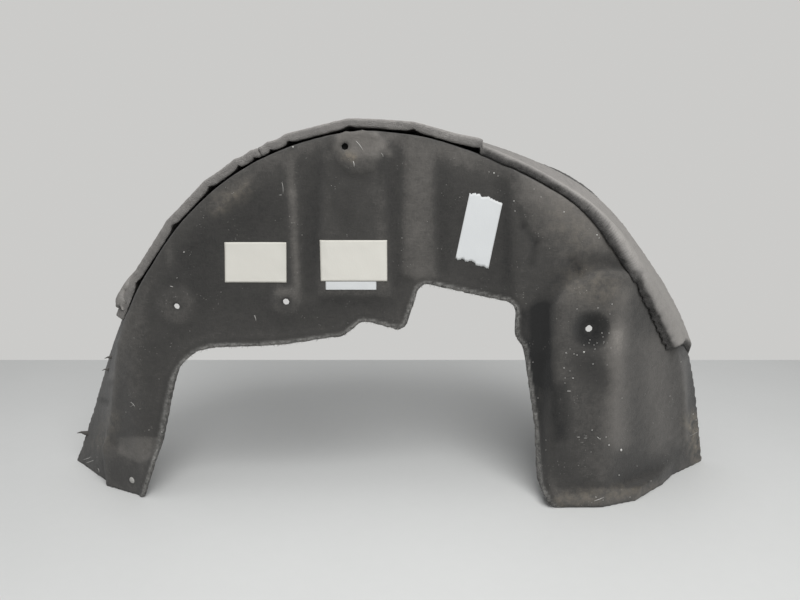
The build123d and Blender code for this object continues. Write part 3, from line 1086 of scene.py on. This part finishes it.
def lint_mesh(felt_tree):
    """Crumbs and scratches on the felt."""
    bits = Bits()
    for u, v, size in CRUMBS:
        spot, normal = on_felt(felt_tree, u, v)
        tone = min(CRUMB_TONE + CRUMB_RISE * size * RNG.uniform(*CRUMB_SWING), 1)
        bits.crumb(spot, normal, CRUMB_SIZE * size * MM, tone)
    for u0, v0, u1, v1, thick in SCRATCHES:
        path = []
        for t in np.linspace(0, 1, len(SCRATCH_TAPER)):
            bow = SCRATCH_BOW * math.sin(math.pi * t)
            spot, normal = on_felt(felt_tree, u0 + (u1 - u0) * t + bow, v0 + (v1 - v0) * t)
            path.append(spot + normal * SCRATCH_LIFT * thick * MM)
        bits.tube(path, thick, SCRATCH_TAPER, RNG.uniform(*SCRATCH_TONE))
    return bits.mesh("lint")


def fray_mesh(felt_tree):
    """Loose felt fibres along the opening, and thorns on the left leg."""
    bits = Bits()
    line = rounded(CUTOUT)
    for (x, z), run in zip(line, np.gradient(line, axis=0)):
        along = run / norm(run)
        open_side = np.array((along[1], -along[0]))
        for _ in range(FIBRES):
            root = np.array((x, z)) - open_side * RNG.uniform(*FIBRE_ROOT)
            lean = open_side * RNG.uniform(*FIBRE_LEAN) + along * RNG.normal(0, FIBRE_SWAY)
            length = RNG.uniform(*FIBRE_LENGTH) * MM
            thick = RNG.uniform(*FIBRE_RADIUS)
            tone = RNG.uniform(*FIBRE_TONE)
            hit = felt_tree.ray_cast(place(root[0], IN_FRONT, root[1]), BACKWARDS)[0]
            if root[1] < FIBRE_FLOOR or hit is None:
                continue
            reach = Vector((lean[0], FIBRE_FORWARD, lean[1])).normalized() * length
            droop = Vector((0, 0, FIBRE_DROOP * length))
            path = [hit, hit + reach * 0.5, hit + reach + droop]
            bits.tube(path, thick, FIBRE_TAPER, tone, 4)
    for u0, v0, u1, v1, thick in THORNS:
        root = on_felt(felt_tree, u0, v0)[0]
        tip = CAMERA_AT + ray(u1, v1) * (root - CAMERA_AT).length
        path = [root.lerp(tip, t) for t in THORN_STEPS]
        path[2].z += THORN_BEND * thick * MM
        bits.tube(path, thick, THORN_TAPER, THORN_HIGHLIGHT_TONE, 6)
    mesh = bits.mesh("frays")
    for name in ("hem", "dirt"):
        paint(mesh, name, np.zeros(len(mesh.vertices)))
    return mesh


# Dark felt patch behind the boss hole, painted shade for the dark inside, and pale plug in the left
# foot's hole, a painted pool of light for the lit floor seen through it: middle of the front face,
# direction inwards, radius and thickness in mm, and tone.
BOSS_SHADE_PATCH = ((-63, -4.3, 449), (0, 1, 0), 9, 2, 0.02)
FOOT_LIGHT_PLUG = ((-354.5, 7.6, 20), (0.4134, 0.9106, 0), 4.4, 3, 0.45)
# Rings of both: shares of the radius and of the thickness.
DISC_RINGS = ((0.02, 0), (0.6, 0.03), (0.9, 0.14), (1, 0.4), (0.98, 0.85), (0.9, 1), (0.02, 1))
DISC_SIDES = 28


def disc_mesh(middle, inward, radius, thick, tone):
    """Round disc with a soft rim and a slightly domed front."""
    middle = place(*middle)
    inward = Vector(inward).normalized()
    side = inward.orthogonal().normalized()
    rise = side.cross(inward)
    points = []
    for reach, level in DISC_RINGS:
        for spoke in spokes(rise, side, DISC_SIDES):
            points.append(middle + spoke * (reach * radius * MM) + inward * level * thick * MM)
    mesh = new_mesh("disc", points, ring_faces(len(DISC_RINGS), DISC_SIDES))
    for name, value in (("tone", tone), ("hem", 0), ("dirt", 0)):
        paint(mesh, name, np.full(len(points), value))
    return mesh


# Floor, light and camera.

# Table: its end behind the part and its reach to the other sides, in mm.
TABLE_END = 559
TABLE_REACH = 4000
# Wall that the camera sees, and soft light from all around.
BACKDROP = (0.6, 0.597, 0.585, 1)
FILL = (0.95, 0.97, 1, 1)
FILL_STRENGTH = 0.22
# Square soft lights: name, place and aim in mm, size in metres and watts.
LIGHTS = (
    ("key", (300, -1150, 1650), (0, 0, 150), 1.2, 34),
    ("overhead", (-250, -250, 2200), (-100, 0, 100), 1.6, 16),
)


def build_table():
    """Pale table that ends in front of the backdrop."""
    sides = ((-1, -TABLE_REACH), (1, -TABLE_REACH), (1, TABLE_END), (-1, TABLE_END))
    corners = [place(side * TABLE_REACH, depth, 0) for side, depth in sides]
    mesh = new_mesh("table", corners, [(0, 1, 2, 3)])
    table = add_object("table", mesh)
    mesh.materials.append(table_material())


def build_world():
    """Pale backdrop for the camera and reflections, and a weaker fill for the rest."""
    world = bpy.data.worlds.new("studio")
    bpy.context.scene.world = world
    n = Nodes(world)
    path = n.add("ShaderNodeLightPath").outputs
    seen = n.math("MAXIMUM", path["Is Camera Ray"], path["Is Glossy Ray"])
    seen = n.math("MAXIMUM", seen, path["Is Transmission Ray"])
    fill = n.add("ShaderNodeBackground", Color=FILL, Strength=FILL_STRENGTH)
    backdrop = n.add("ShaderNodeBackground", Color=BACKDROP)
    blend = n.add("ShaderNodeMixShader")
    for socket, value in zip(blend.inputs, (seen, fill.outputs[0], backdrop.outputs[0])):
        n.feed(socket, value)
    n.feed(n.tree.nodes["World Output"].inputs["Surface"], blend.outputs[0])


def add_light(name, spot, aim, size, watts):
    """Square soft light at a spot of the drawing."""
    data = bpy.data.lights.new(name, "AREA")
    data.size = size
    data.energy = watts
    lamp = add_object(name, data)
    lamp.location = place(*spot)
    lamp.rotation_euler = (place(*aim) - place(*spot)).to_track_quat("-Z", "Y").to_euler()


def add_camera():
    """Camera of the photograph."""
    data = bpy.data.cameras.new("camera")
    data.lens = FOCAL / PICTURE[0] * data.sensor_width
    camera = add_object("camera", data)
    camera.location = CAMERA_AT
    camera.rotation_euler = (math.pi / 2 - TILT, 0, 0)
    bpy.context.scene.camera = camera


felt = felt_material()
foam = foam_material()
papers = {name: paper_material(name, *colours) for name, colours in PAPERS.items()}
lint = lint_material()

shell = add_piece("felt_shell", shell_mesh(), felt, "felt", "liner_shell")
felt_tree = tree_of(shell)
for side in ("left", "right"):
    node = f"foam_strip_{side}"
    strip = add_piece(f"foam_{side}", foam_mesh(node, felt_tree), foam, "foam", node)
    if side == "left":
        add_piece("foam_flap", flap_mesh(tree_of(strip)), foam, "foam")
for seed, (name, node, slot, corners, curl, torn) in enumerate(LABELS, FIRST_SEED):
    add_piece(name, label_mesh(corners, felt_tree, curl, torn, seed), papers[slot], slot, node)
add_piece("lint", lint_mesh(felt_tree), lint, "felt")
add_piece("frays", fray_mesh(felt_tree), felt, "felt")
# Dark patch that paints the shade inside the boss hole, and pale plug that paints the light seen through
# the foot hole.
add_piece("boss_shade_patch", disc_mesh(*BOSS_SHADE_PATCH), felt, "felt")
add_piece("foot_light_plug", disc_mesh(*FOOT_LIGHT_PLUG), lint, "felt")

build_table()
build_world()
for light in LIGHTS:
    add_light(*light)
add_camera()

bpy.context.scene.view_settings.view_transform = "Standard"
